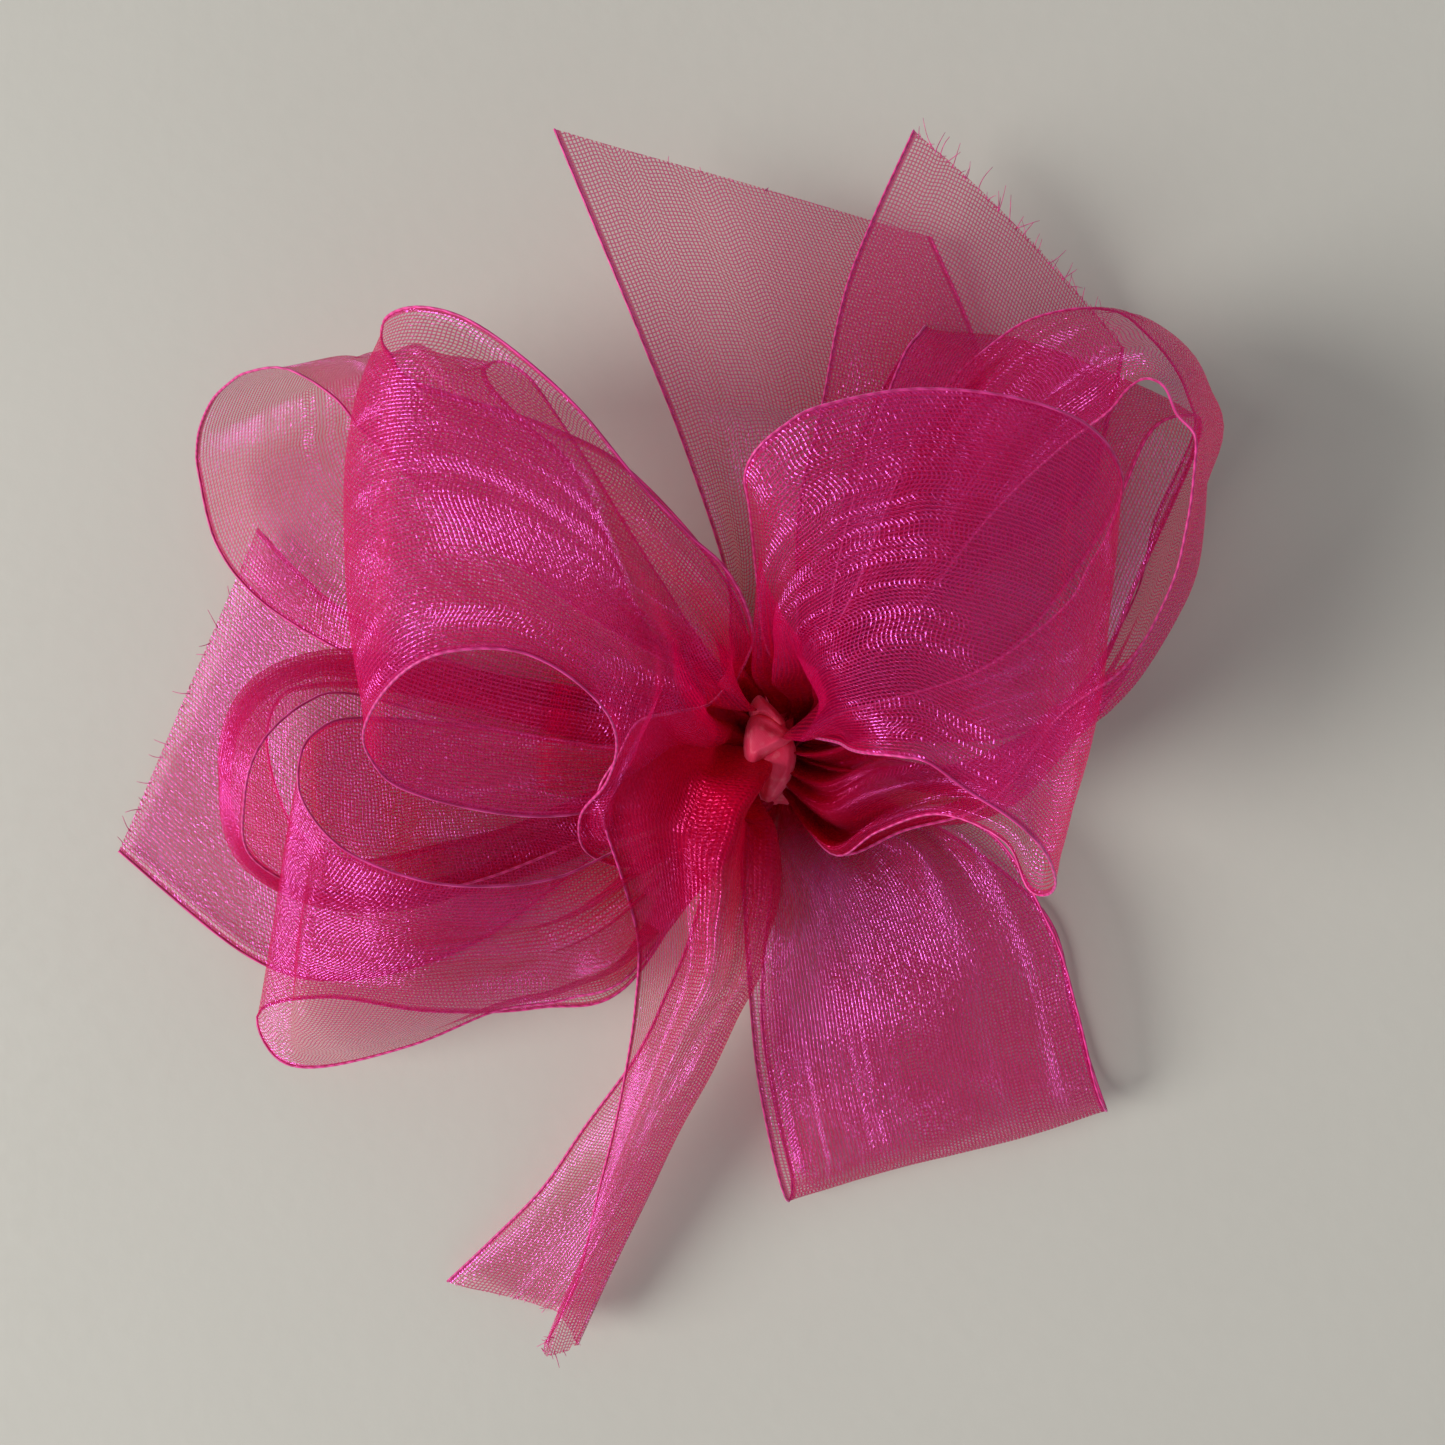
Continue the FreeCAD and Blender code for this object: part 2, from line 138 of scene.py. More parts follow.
def tube(line, thick, sides=6):
    """Points and faces of a round cord with closed ends along a line of points."""
    forward = unit(np.gradient(line, axis=0))
    aside = unit(np.cross(forward, np.array([0.37, 0.21, 0.9])))
    above = np.cross(forward, aside)
    turns = np.arange(sides) / sides * 2 * math.pi
    radius = np.broadcast_to(np.asarray(thick, float) / 2, (len(line),))[:, None, None]
    ring = np.cos(turns)[None, :, None] * aside[:, None] + np.sin(turns)[None, :, None] * above[:, None]
    points = (line[:, None] + ring * radius).reshape(-1, 3)
    faces = grid_faces(len(line), sides, closed=True)
    faces.append(tuple(range(sides))[::-1])
    faces.append(tuple((len(line) - 1) * sides + k for k in range(sides)))
    return points, faces


def joined(parts):
    """Several (points, faces) pairs as one."""
    points, faces, base = [], [], 0
    for some, quads in parts:
        points.append(some)
        faces += [tuple(base + k for k in quad) for quad in quads]
        base += len(some)
    return np.concatenate(points), faces


# Where each ribbon runs -------------------------------------------------------------------------------------

# One row is one station along the ribbon, in millimetres: its first selvedge (x, y, z), then its second one.
# A row of nine numbers has a place between the two, where the ribbon bends lengthwise. Every ribbon starts
# inside the band.
RIBBONS = {
    "loop_front_left": [
        (-2.2, 4.8, 11.0, -2.2, -1.5, 11.2),
        (-3.6, 7.0, 15.0, -5.0, -4.5, 12.4),
        (-2.5, 9.5, 22.0, -10.5, -11.0, 12.4),
        (-2.0, 11.5, 28.0, -15.5, -12.5, 14.0),
        (-3.0, 14.5, 34.0, -19.5, -10.5, 17.0),
        (-5.0, 17.5, 37.0, -19.5, -6.5, 22.0),
        (-8.0, 20.0, 39.0, -16.5, -3.0, 27.0),
        (-12.5, 24.5, 41.0, -15.0, 1.0, 33.0),
        (-17.5, 30.5, 42.0, -16.0, 4.5, 38.0),
        (-22.5, 35.0, 43.0, -20.0, 8.0, 41.0),
        (-27.5, 38.5, 42.5, -24.5, 9.5, 42.0),
        (-32.0, 40.0, 41.0, -30.5, 9.0, 41.5),
        (-35.5, 40.0, 38.0, -35.0, 6.5, 39.0),
        (-37.0, 39.0, 34.0, -38.5, 2.5, 34.5),
        (-37.0, 38.5, 30.0, -39.0, -0.5, 30.0),
        (-35.0, 36.5, 27.0, -36.5, -3.5, 27.5),
        (-22.0, 32.5, 25.0, -28.5, -6.0, 24.0),
        (-13.5, 28.0, 21.0, -20.5, -6.5, 20.0),
        (-3.5, 16.0, 16.0, -9.5, -4.0, 15.0),
        (-2.2, 4.6, 9.8, -2.2, -1.0, 9.8),
    ],
    "loop_back_left": [
        (-2.2, 5.0, 3.5, -2.2, 4.4, 7.5),
        (-8.5, 7.5, 7.0, -14.5, 2.5, 6.5),
        (-14.5, 15.5, 9.0, -30.5, 6.0, 6.0),
        (-18.0, 24.0, 11.0, -42.0, 8.5, 5.0),
        (-21.5, 31.0, 13.0, -51.0, 12.5, 4.5),
        (-26.0, 35.0, 14.5, -58.5, 17.5, 4.0),
        (-29.0, 38.0, 16.0, -63.0, 23.5, 4.0),
        (-30.0, 39.5, 16.5, -65.0, 31.5, 4.0),
        (-30.0, 40.5, 17.5, -64.5, 34.0, 6.0),
        (-29.5, 40.0, 19.0, -63.0, 36.0, 9.0),
        (-29.0, 40.0, 20.5, -60.5, 38.0, 12.5),
        (-28.0, 40.0, 21.5, -57.5, 39.0, 16.0),
        (-26.5, 39.5, 22.0, -54.5, 39.5, 19.0),
        (-24.5, 38.0, 22.0, -50.0, 39.5, 20.5),
        (-22.0, 34.5, 20.5, -45.0, 36.5, 21.0),
        (-19.0, 30.0, 18.0, -42.0, 33.0, 20.0),
        (-14.0, 22.0, 15.0, -34.0, 25.5, 17.0),
        (-8.5, 13.5, 11.0, -18.5, 14.0, 12.5),
        (-2.2, 5.2, 4.5, -2.2, 5.0, 8.5),
    ],
    "loop_small_left": [
        (-2.2, 2.5, 1.8, -2.2, 1.5, 5.0),
        (-19.0, 4.5, 2.5, -19.5, 0.5, 11.0),
        (-36.5, 6.5, 2.5, -34.5, 3.5, 15.0),
        (-45.0, 7.5, 2.5, -43.5, 6.0, 20.5),
        (-51.5, 7.5, 3.0, -47.0, 5.0, 24.0),
        (-56.0, 6.0, 3.2, -50.5, 1.0, 27.0),
        (-57.5, 0.0, 3.0, -52.5, -4.5, 26.0),
        (-54.5, -9.5, 2.0, -53.9, -11.2, 19.0),
        (-47.0, -13.0, 2.0, -47.5, -15.7, 11.5),
        (-33.0, -10.5, 2.0, -33.5, -15.0, 8.0),
        (-16.5, -5.0, 2.0, -17.5, -9.0, 6.0),
        (-2.2, -3.0, 1.8, -2.2, -4.0, 4.6),
    ],
    "loop_lower_left": [
        (-2.2, -3.6, 5.0, -2.2, 1.6, 8.2),
        (-15.0, -26.0, 6.0, -14.0, 0.0, 12.0),
        (-26.0, -29.5, 5.0, -30.5, 2.5, 16.0),
        (-38.5, -30.0, 4.5, -42.0, 3.5, 22.0),
        (-50.0, -28.5, 4.0, -45.5, 2.0, 26.0),
        (-58.0, -30.0, 4.0, -46.5, -1.0, 28.0),
        (-56.0, -35.0, 5.0, -46.0, -5.0, 28.0),
        (-50.5, -36.0, 6.0, -42.0, -9.5, 28.0),
        (-39.5, -33.0, 8.0, -35.0, -12.5, 27.0),
        (-30.0, -29.0, 9.0, -28.5, -13.5, 24.0),
        (-22.0, -27.5, 10.0, -22.0, -13.0, 20.0),
        (-14.0, -23.5, 11.0, -16.0, -10.5, 16.0),
        (-2.2, -5.0, 6.0, -2.2, -4.4, 9.6),
    ],
    "loop_lower_right": [
        (2.2, -4.8, 4.8, 2.2, -2.0, 2.6),
        (-2.5, -10.0, 5.5, 11.5, -6.0, 7.0),
        (-2.5, -19.0, 7.0, 24.5, -9.0, 8.0),
        (-2.0, -27.0, 8.0, 31.5, -20.0, 9.0),
        (-1.0, -37.0, 7.5, 34.5, -29.0, 8.5),
        (1.0, -47.0, 6.0, 37.0, -38.0, 7.0),
        (2.5, -52.0, 3.5, 39.0, -41.5, 4.0),
        (3.0, -50.0, 1.0, 38.5, -38.5, 1.0),
        (1.0, -41.5, 0.8, 36.0, -30.5, 0.8),
        (-0.5, -30.5, 0.8, 32.5, -19.0, 0.8),
        (0.5, -17.5, 0.8, 19.0, -8.5, 0.8),
        (2.2, -4.6, 1.6, 2.2, -2.0, 1.4),
    ],
    "loop_front_right": [
        (2.2, 4.4, 11.0, 2.2, 0.0, 11.2),
        (2.0, 7.6, 14.0, 4.6, 1.6, 13.4),
        (-0.5, 11.0, 20.0, 4.8, 1.4, 17.0),
        (-1.5, 16.0, 28.0, 0.5, 11.0, 26.5, 6.5, 1.0, 25.0),
        (-2.5, 22.5, 37.0, 0.5, 16.0, 35.5, 7.0, 0.5, 33.0),
        (-3.0, 25.0, 40.5, 1.5, 19.0, 40.0, 7.6, 0.3, 38.5),
        (-2.0, 27.0, 42.5, 3.0, 20.5, 43.0, 8.8, 0.2, 41.5),
        (0.5, 29.0, 43.5, 5.5, 22.5, 44.0, 10.8, 0.0, 43.0),
        (3.5, 30.5, 44.0, 9.5, 23.5, 44.0, 13.0, -0.5, 43.5),
        (11.5, 32.0, 44.0, 16.5, -3.0, 43.0),
        (20.5, 31.5, 43.0, 20.5, -5.5, 42.0),
        (28.0, 29.5, 40.0, 24.0, -8.5, 39.0),
        (32.5, 26.0, 34.0, 26.5, -12.0, 33.0),
        (33.0, 22.0, 28.0, 27.0, -14.0, 27.0),
        (31.5, 18.5, 25.5, 25.5, -13.5, 25.0),
        (29.5, 14.5, 23.0, 23.5, -9.0, 23.5),
        (22.0, 8.5, 19.0, 17.5, -6.5, 19.5),
        (13.0, 5.5, 15.8, 11.5, -8.5, 16.6),
        (8.0, 4.0, 13.6, 7.6, -11.3, 14.4),
        (5.0, 2.6, 12.6, 4.6, -9.0, 12.8),
        (2.2, 2.0, 11.4, 2.2, -4.4, 11.2),
    ],
    "loop_back_right": [
        (2.2, 5.0, 6.0, 2.2, 4.0, 9.4),
        (9.0, 16.5, 12.0, 11.5, 10.0, 13.0),
        (17.0, 36.0, 13.0, 23.0, 24.5, 17.0),
        (25.0, 44.5, 14.0, 29.5, 31.0, 21.0),
        (31.0, 47.0, 15.0, 33.5, 34.0, 25.0),
        (37.0, 47.0, 15.0, 34.5, 35.5, 28.0),
        (41.0, 44.5, 14.0, 35.5, 36.0, 31.0),
        (44.0, 41.5, 13.0, 36.5, 34.5, 34.0),
        (46.0, 38.5, 11.5, 37.0, 31.5, 36.0),
        (48.0, 36.0, 7.5, 38.5, 29.5, 36.5),
        (47.0, 31.5, 4.0, 38.5, 26.5, 36.5),
        (44.5, 26.0, 4.0, 38.0, 21.5, 36.0),
        (42.5, 18.0, 4.0, 37.0, 15.5, 34.0),
        (37.5, 9.5, 5.0, 34.0, 8.5, 30.0),
        (30.5, 2.5, 7.0, 29.0, 3.5, 23.0),
        (21.5, -2.0, 9.5, 23.5, -5.5, 16.0),
        (13.5, -1.0, 10.5, 14.6, -8.6, 14.0),
        (7.5, 0.5, 11.0, 7.4, -11.3, 12.0),
        (2.2, 1.6, 9.3, 2.2, -4.6, 9.2),
    ],
    "loop_under_right": [
        (2.2, 4.8, 3.0, 2.2, 0.8, 6.0),
        (5.0, 8.0, 5.0, 13.0, 1.0, 5.0),
        (6.0, 17.0, 5.0, 27.5, 1.5, 5.0),
        (8.5, 26.0, 5.0, 37.0, 7.5, 5.0),
        (10.5, 35.0, 5.0, 42.5, 19.5, 5.0),
        (13.5, 41.5, 5.0, 46.0, 27.5, 5.5),
        (16.0, 45.5, 6.5, 48.0, 33.0, 7.0),
        (17.5, 47.0, 9.0, 48.0, 36.0, 9.5),
        (16.5, 45.5, 11.5, 46.0, 36.5, 12.0),
        (14.5, 42.5, 12.5, 41.5, 34.5, 12.5),
        (11.0, 33.0, 12.5, 36.5, 24.0, 12.0),
        (8.0, 22.0, 11.0, 26.5, 11.0, 10.5),
        (6.0, 11.0, 8.5, 13.0, 4.5, 8.0),
        (2.2, 4.6, 5.4, 2.2, 0.6, 7.4),
    ],
    "tail_upper_left": [
        (-2.2, 1.0, 1.6, -2.2, 5.0, 2.4),
        (-4.0, 11.5, 3.0, 2.5, 10.0, 1.0),
        (-4.5, 19.5, 6.0, 13.5, 18.5, 0.8),
        (-9.0, 33.0, 9.0, 24.0, 31.5, 0.8),
        (-13.5, 44.0, 12.0, 25.5, 44.0, 0.8),
        (-23.0, 66.5, 15.0, 19.0, 59.0, 3.0),
    ],
    "tail_upper_right": [
        (2.2, 5.0, 4.0, 2.2, 1.0, 1.6),
        (3.5, 12.0, 4.6, 9.0, 9.0, 3.0),
        (3.5, 26.5, 7.0, 22.5, 19.5, 1.6),
        (6.0, 38.0, 9.0, 36.5, 29.0, 1.0),
        (9.0, 52.0, 11.0, 40.5, 40.5, 1.2),
        (16.0, 68.0, 11.0, 41.5, 46.5, 2.0),
    ],
    "tail_left": [
        (-2.2, 3.0, 1.3, -2.2, -3.0, 1.3),
        (-14.5, 3.5, 1.2, -17.0, -10.5, 1.0),
        (-28.5, 7.5, 1.0, -33.5, -22.5, 0.8),
        (-40.5, 11.5, 1.0, -48.5, -27.0, 0.8),
        (-50.5, 17.0, 1.2, -60.0, -24.5, 0.8),
        (-59.0, 25.5, 1.8, -75.5, -12.0, 0.8),
    ],
    "tail_bottom": [
        (-2.2, 4.8, 11.4, -2.2, -3.8, 11.2, -2.2, -4.8, 9.0),
        (-4.0, 7.0, 15.5, -1.6, -6.2, 12.8, -3.0, -5.5, 11.0),
        (-6.5, 4.8, 20.0, -0.6, -7.8, 14.6, -3.0, -6.5, 12.5),
        (-10.0, 4.0, 23.5, 0.6, -9.0, 15.6, -3.5, -8.0, 13.0),
        (-13.5, 3.0, 25.0, 1.4, -10.5, 15.6, -5.0, -9.5, 13.0),
        (-15.5, -0.5, 25.0, 1.6, -12.0, 15.2, -6.0, -12.5, 13.0),
        (-17.5, -4.0, 24.0, 1.6, -14.0, 15.0, -7.0, -15.0, 12.5),
        (-17.0, -8.0, 21.0, 1.2, -17.0, 15.0, -8.0, -18.5, 12.0),
        (-15.5, -13.5, 18.0, 0.0, -20.5, 15.5, -9.5, -23.0, 11.0),
        (-14.0, -20.5, 15.5, -0.8, -24.0, 16.0, -11.5, -27.5, 10.5),
        (-14.5, -28.0, 12.5, -3.0, -28.0, 16.0, -13.0, -31.0, 9.5),
        (-15.5, -34.5, 10.5, -6.0, -34.5, 15.5, -15.5, -35.5, 8.5),
        (-17.0, -42.0, 8.5, -9.5, -41.5, 13.5, -20.5, -42.5, 7.0),
        (-19.0, -50.0, 6.5, -13.0, -49.5, 11.0, -25.5, -50.0, 5.0),
        (-21.5, -60.5, 4.0, -17.8, -60.0, 8.0, -31.5, -56.5, 3.0),
        (-25.0, -68.0, 2.5, -21.2, -68.0, 5.5, -37.0, -62.0, 1.5),
    ],
}
TAILS = ("tail_upper_left", "tail_upper_right", "tail_left", "tail_bottom")
# Where a ribbon bends lengthwise: the share of its width, and how many times the bend is softened.
CREASES = {"tail_bottom": (0.55, 3), "loop_front_right": (0.22, 30)}

# Pleats beside the band: how many across the ribbon, over what length they fade, and their most height.
PLEATS = ((6.0, 0.011, 0.0016), (3.3, 0.022, 0.0026), (1.6, 0.026, 0.0009))

# How many times further out a ribbon's pleats and its drawn-up threads run: 1 unless it is named here.
PLEATS_REACH = {
    "loop_small_left": 2.4, "loop_front_left": 0.75, "loop_front_right": 0.75, "loop_back_left": 1.5,
    "tail_bottom": 1.35, "loop_back_right": 1.3, "loop_lower_left": 1.2, "loop_lower_right": 0.5,
}
GATHER_REACH = 0.015         # how far from the waist the threads stay drawn together, and how far the painted shade round the knot reaches
OFF_FLOOR = 0.0004           # no ribbon lies lower than this over the floor
ALONG = 150                  # points along a ribbon's mesh, and across it
ACROSS = 73
STEPS = 12                   # steps of the smooth curve from one station to the next

# How much each ribbon crowns outward between its selvedges: 1 is what its slack gives.
CROWNS = {
    "loop_back_left": 0.3, "loop_lower_right": 0.2, "loop_under_right": 0.4, "tail_left": 0.3,
    "tail_upper_left": 0.4, "tail_upper_right": 0.4, "loop_front_right": 0.3, "loop_front_left": 0.5,
    "loop_back_right": 0.4,
}
CROWN_MOST = 0.0030          # the most that a crown rises, and the share of the slack that it takes
CROWN_SHARE = 0.25
OPENS_OVER = 0.020           # how far from the waist a ribbon opens out
# The most that pleats and crown together lift a ribbon off its stations, in metres.
MOST_HEIGHT = 0.0042
MOST_HEIGHTS = {
    "loop_back_right": 0.0032, "loop_back_left": 0.003, "tail_left": 0.0016, "tail_upper_left": 0.0022,
    "tail_upper_right": 0.0018, "loop_under_right": 0.002,
}

WRINKLES = 7                 # shallow waves on each ribbon, their height and their shortest and longest
WRINKLE_HIGH = 0.00008
WRINKLE_LONG = (0.014, 0.045)
WRINKLE_SLANT = 1.6          # how far a wave may slant, in waves across the ribbon
FILL_LIMITS = (0.5, 2.3)     # how much a ribbon's heights may be scaled to use up its width
FOLD_SOFT = 0.12             # the share of the width that lies flat beside the lengthwise fold of a tail

# Threads that stick out of each tail's cut: how many, and the longest, in metres.
FRAYS = {
    "tail_upper_right": (75, 0.0030), "tail_left": (22, 0.0022), "tail_bottom": (26, 0.0020),
    "tail_upper_left": (14, 0.0008),
}
FRAY_THICK = 0.00012

THROUGH = 0.50               # the share of light that the organza's threads pass on to the other side
DRAWN_AND_SHADED_RED = (0.66, 0.0008, 0.030, 1)     # organza near the waist: the deeper red of threads drawn together, made darker still as painted shade among the crowded gathers
SHADE_RED = (0.48, 0.004, 0.075, 1)      # the darker of its uneven patches


# The ribbons ------------------------------------------------------------------------------------------------

def station_grid(name, rows):
    """Points of the ribbon's surface, nearly straight across each station, and the shares across it."""
    crease, soften = CREASES.get(name, (0.5, 0))
    full = []
    for row in rows:
        row = np.array(row, float)
        first, second = row[:3], row[-3:]
        between = row[3:6] if len(row) == 9 else first + (second - first) * crease
        full.append(np.concatenate([first, between, second]))
    stations, _ = evenly(smooth(np.array(full, float) * MM, STEPS), [0, 1, 2, 6, 7, 8], ALONG)
    share = np.linspace(0.0, 1.0, ACROSS)
    grid = np.empty((ALONG, ACROSS, 3))
    for i, places in enumerate(stations.reshape(ALONG, 3, 3)):
        for axis in range(3):
            grid[i, :, axis] = np.interp(share, [0.0, crease, 1.0], places[:, axis])
    for _ in range(soften):
        grid[:, 1:-1] = (grid[:, :-2] + 2 * grid[:, 1:-1] + grid[:, 2:]) / 4
    return grid, share


def normals_of(grid):
    return unit(np.cross(np.gradient(grid, axis=0), np.gradient(grid, axis=1)))


def pleat_heights(slack, share, from_root, phase):
    """How far the pleats lift each point. Their own length across the ribbon takes up part of the slack."""
    height = np.zeros((len(from_root), len(share)))
    for number, (count, fade, most) in enumerate(PLEATS):
        tall = np.minimum(most, slack / (4 * count)) * np.exp(-(from_root / fade) ** 2)
        wander = 0.35 * np.sin(2 * math.pi * share * 1.3 + phase + number)
        height += tall[:, None] * np.sin(2 * math.pi * (count * share + wander + 0.23 * number) + phase)[None]
    return height


def wrinkle_heights(along, share, rng):
    """Shallow waves wherever the ribbon isn't pulled flat."""
    height = np.zeros((len(along), len(share)))
    for _ in range(WRINKLES):
        length = rng.uniform(*WRINKLE_LONG)
        slant = rng.uniform(-WRINKLE_SLANT, WRINKLE_SLANT)
        phase = rng.uniform(0, 2 * math.pi)
        height += WRINKLE_HIGH * np.sin(2 * math.pi * (along[:, None] / length + slant * share[None]) + phase)
    return height


def filled_out(height, grid, outward, across, most):
    """The heights scaled at each station until the ribbon is as wide across its folds as it was cut."""
    folded = grid + outward * height[..., None]
    length = np.linalg.norm(np.diff(folded, axis=1), axis=2).sum(axis=1)
    wanted = np.maximum(RIBBON_WIDE ** 2 - across ** 2, 0.0)
    scale = np.sqrt(wanted / np.maximum(length ** 2 - across ** 2, 1e-8))
    room = most / np.maximum(np.abs(height).max(axis=1), 1e-6)
    return height * np.clip(np.minimum(scale, room), *FILL_LIMITS)[:, None]


def ribbon_surface(name, rows, seed):
    """The ribbon's points, its uvs (across and along, in metres) and its own length."""
    rng = np.random.default_rng(seed)
    grid, share = station_grid(name, rows)
    middle = grid.mean(axis=1)
    along = arc_length(middle)
    from_root = along if name in TAILS else np.minimum(along, along[-1] - along)
    across = np.linalg.norm(np.diff(grid, axis=1), axis=2).sum(axis=1)
    slack = np.sqrt(np.maximum(RIBBON_WIDE ** 2 - across ** 2, 0.0))
    outward = normals_of(grid)
    if name in TAILS:
        side = np.sign(outward[..., 2].sum())
    else:
        side = np.sign(((grid - middle.mean(axis=0)) * outward).sum())
    outward = outward * side
    opened = 1 - np.exp(-(from_root / OPENS_OVER) ** 2)
    crown = np.minimum(CROWN_SHARE * slack, CROWN_MOST) * opened * CROWNS.get(name, 1.0)
    height = crown[:, None] * (4 * share * (1 - share))[None]
    height += pleat_heights(slack, share, from_root / PLEATS_REACH.get(name, 1.0), rng.uniform(0, 6))
    height += wrinkle_heights(along, share, rng) * opened[:, None]
    if name == "tail_bottom":
        height *= np.clip(np.abs(share - CREASES[name][0]) / FOLD_SOFT, 0, 1)[None]
    height *= (1 - np.abs(2 * share - 1) ** 7)[None]
    height = filled_out(height, grid, outward, across, MOST_HEIGHTS.get(name, MOST_HEIGHT))
    points = grid + outward * height[..., None]
    points[..., 2] = np.maximum(points[..., 2], OFF_FLOOR)
    own_length = np.cumsum(np.linalg.norm(np.diff(points, axis=0), axis=2), axis=0)
    own_length = np.concatenate([np.zeros((1, ACROSS)), own_length])
    uvs = np.stack([np.broadcast_to(share[None] * RIBBON_WIDE, own_length.shape), own_length], axis=2)
    # Near the waist the threads are drawn together; the same share also lays painted shade there.
    gather = np.exp(-(from_root / (GATHER_REACH * PLEATS_REACH.get(name, 1.0))) ** 2)
    gathers = np.repeat(gather, ACROSS)
    return points, uvs, np.column_stack([gathers, gathers]), float(own_length.mean(axis=1)[-1])


def fray(points, rng, count, longest):
    """Loose ends of thread along the cut, at the last row of a tail's points."""
    parts = []
    cut = points[-1]
    beyond = unit(points[-1] - points[-4])
    for _ in range(count):
        place = rng.uniform(0.02, 0.98) * (ACROSS - 1)
        low = int(place)
        start = cut[low] + (cut[low + 1] - cut[low]) * (place - low)
        aim = unit(beyond[low] + rng.normal(0, 0.35, 3) + unit(cut[-1] - cut[0]) * rng.normal(0, 0.5))
        curl = unit(rng.normal(0, 1, 3)) * rng.uniform(0.1, 0.5)
        reach = longest * rng.uniform(0.2, 1.0) ** 1.6
        steps = np.linspace(0, 1, 6)[:, None]
        line = start - aim * 0.0004 + aim * reach * steps + curl * reach * steps ** 2
        line[:, 2] = np.maximum(line[:, 2], 0.0003)
        parts.append(tube(line, FRAY_THICK * (1 - 0.5 * steps[:, 0]), sides=4))
    return joined(parts)


def bend_with(piece):
    """Bakes the piece's placement into its points."""
    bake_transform(piece)


def make_ribbon(name, rows, seed, looks):
    points, uvs, gathers, length = ribbon_surface(name, rows, seed)
    flat_points = points.reshape(-1, 3)
    cloth = mesh_object(name + "_organza", flat_points, grid_faces(ALONG, ACROSS), looks["organza"],
                        uvs.reshape(-1, 2), gathers)
    edges = joined([tube(points[:, 0], SELVEDGE_THICK), tube(points[:, -1], SELVEDGE_THICK)])
    selvedges = mesh_object(name + "_selvedges", *edges, looks["selvedge"])
    trims = [selvedges]
    if name in FRAYS:
        rng = np.random.default_rng(seed + 100)
        loose = fray(points, rng, *FRAYS[name])
        trims.append(mesh_object(name + "_frayed_ends", *loose, looks["selvedge"]))
    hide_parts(name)
    for piece in [cloth] + trims:
        bend_with(piece)


# The gathered waist, the satin band and the knot ------------------------------------------------------------

def rounded_ring(half_wide, half_high, corner, count):
    """Places (y, z) and outward directions round a rounded rectangle, evenly spaced, about its own middle."""
    arcs = []
    for turn, (side, rise) in enumerate([(1, 1), (-1, 1), (-1, -1), (1, -1)]):
        for k in range(13):
            angle = math.pi / 2 * (turn + k / 12)
            arcs.append((side * (half_wide - corner) + corner * math.cos(angle),
                         rise * (half_high - corner) + corner * math.sin(angle),
                         math.cos(angle), math.sin(angle)))
    arcs.append(arcs[0])
    ring, _ = evenly(np.array(arcs), [0, 1], count + 1)
    return ring[:-1, :2], unit(ring[:-1, 2:])


def make_waist(looks):
    """Pleated organza under the band; its pleats deepen towards both ends, where it draws in."""
    low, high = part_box("gathered_waist")
    middle = (low + high) / 2
    half = (high - low) / 2
    around, lengthways, pleats = 320, 25, 30
    places, outs = rounded_ring(half.y, half.z, 0.0030, around)
    turns = np.arange(around) / around * 2 * math.pi
    rows, uvs = [], []
    for x in np.linspace(-1.0, 1.0, lengthways):
        flare = abs(x) ** 3
        deep = 0.0005 + 0.0003 * flare
        wave = np.sin(pleats * turns + 1.5 * np.sin(3 * turns) + 0.8 * x) * deep
        lift = wave - 0.0006 - 0.0030 * max(0.0, abs(x) - 0.6) / 0.4
        ring = places + outs * lift[:, None]
        along = np.full(around, x * (half.x + 0.0012))
        rows.append(np.column_stack([along, ring[:, 0] + middle.y, ring[:, 1] + middle.z]))
        uvs.append(np.column_stack([turns * 0.012, np.full(around, x * half.x)]))
    faces = grid_faces(lengthways, around, closed=True)
    points = np.concatenate(rows)
    # The waist's darker crimson is partly painted shade among the gathers.
    piece = mesh_object("waist_pleats", points, faces, looks["organza_gathered"], np.concatenate(uvs),
                        np.ones((len(points), 2)))
    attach(piece, "waist")
    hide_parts("gathered_waist")


def make_band(looks):
    """The satin wrapped flat round the waist, with a few soft wrinkles where it is pulled tight."""
    low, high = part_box("satin_wrap")
    middle = (low + high) / 2
    half = (high - low) / 2
    around, lengthways = 200, 15
    places, outs = rounded_ring(half.y - SATIN_THICK / 2, half.z - SATIN_THICK / 2, 0.0036, around)
    turns = np.arange(around) / around * 2 * math.pi
    sheets = []
    for side in (-0.5, 0.5):
        for x in np.linspace(-1.0, 1.0, lengthways):
            wave = 0.00010 * np.sin(4.5 * math.pi * x + 2.2 * np.sin(2 * turns)) * (1 - abs(x) ** 4)
            off_floor = np.clip(places[:, 1] / half.z + 1.0, 0.0, 1.0)
            lift = side * SATIN_THICK * (1 - 0.3 * abs(x) ** 8) + (wave - 0.00005) * off_floor
            narrow = half.x * (1 - 0.10 * np.clip(places[:, 1] / half.z, 0, 1) ** 2)
            ring = places + outs * lift[:, None]
            sheets.append(np.column_stack([x * narrow, ring[:, 0] + middle.y, ring[:, 1] + middle.z]))
    points = np.array(sheets)
    inside, outside = points[:lengthways], points[lengthways:]
    loop = np.concatenate([outside, inside[::-1]])
    count = 2 * lengthways
    faces = []
    for i in range(count):
        for j in range(around):
            k = (j + 1) % around
            n = (i + 1) % count
            faces.append((i * around + j, n * around + j, n * around + k, i * around + k))
    distance = turns / (2 * math.pi) * SATIN_ROUND
    across = np.concatenate([np.linspace(0, SATIN_WIDE, lengthways), np.linspace(SATIN_WIDE, 0, lengthways)])
    uvs = np.stack(np.meshgrid(across, distance, indexing="ij"), axis=2).reshape(-1, 2)
    piece = mesh_object("satin_band", loop.reshape(-1, 3), faces, looks["satin"], uvs)
    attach(piece, "waist")
    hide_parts("satin_wrap")


